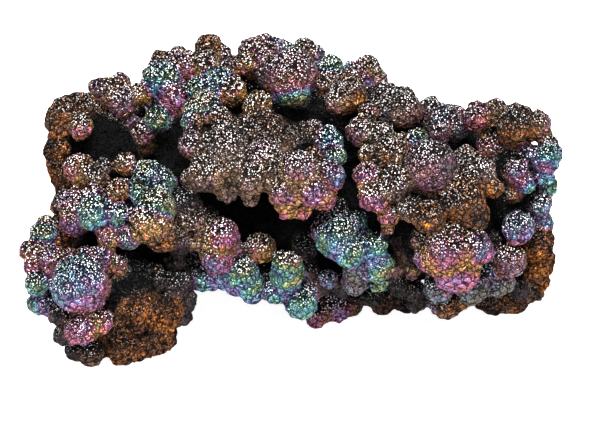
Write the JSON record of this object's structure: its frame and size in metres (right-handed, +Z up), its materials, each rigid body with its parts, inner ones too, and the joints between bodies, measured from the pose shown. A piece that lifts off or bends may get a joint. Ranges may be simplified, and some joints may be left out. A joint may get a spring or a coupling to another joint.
{
  "type": "limonite specimen",
  "caption": "Loose mineral specimen: iridescent botryoidal iron ore, rounded lumps grown together in a craggy cluster with an arch under its front, resting on its own feet.",
  "frame": {"origin": "the middle of the specimen's box, at the surface that it rests on", "axes": "+X along its greatest length, to the right of its best face; +Y into its back; +Z up as it rests; the best face looks towards -Y"},
  "size_m": [0.0912, 0.047, 0.0441],
  "materials": {
    "limonite": "submetallic dark brown iron ore with an iridescent tarnish of teal, violet, magenta and gold over fine druse, and dull rust-brown earthy breaks"
  },
  "bodies": {
    "root": {"limonite_specimen": "limonite"}
  },
  "joints": []
}
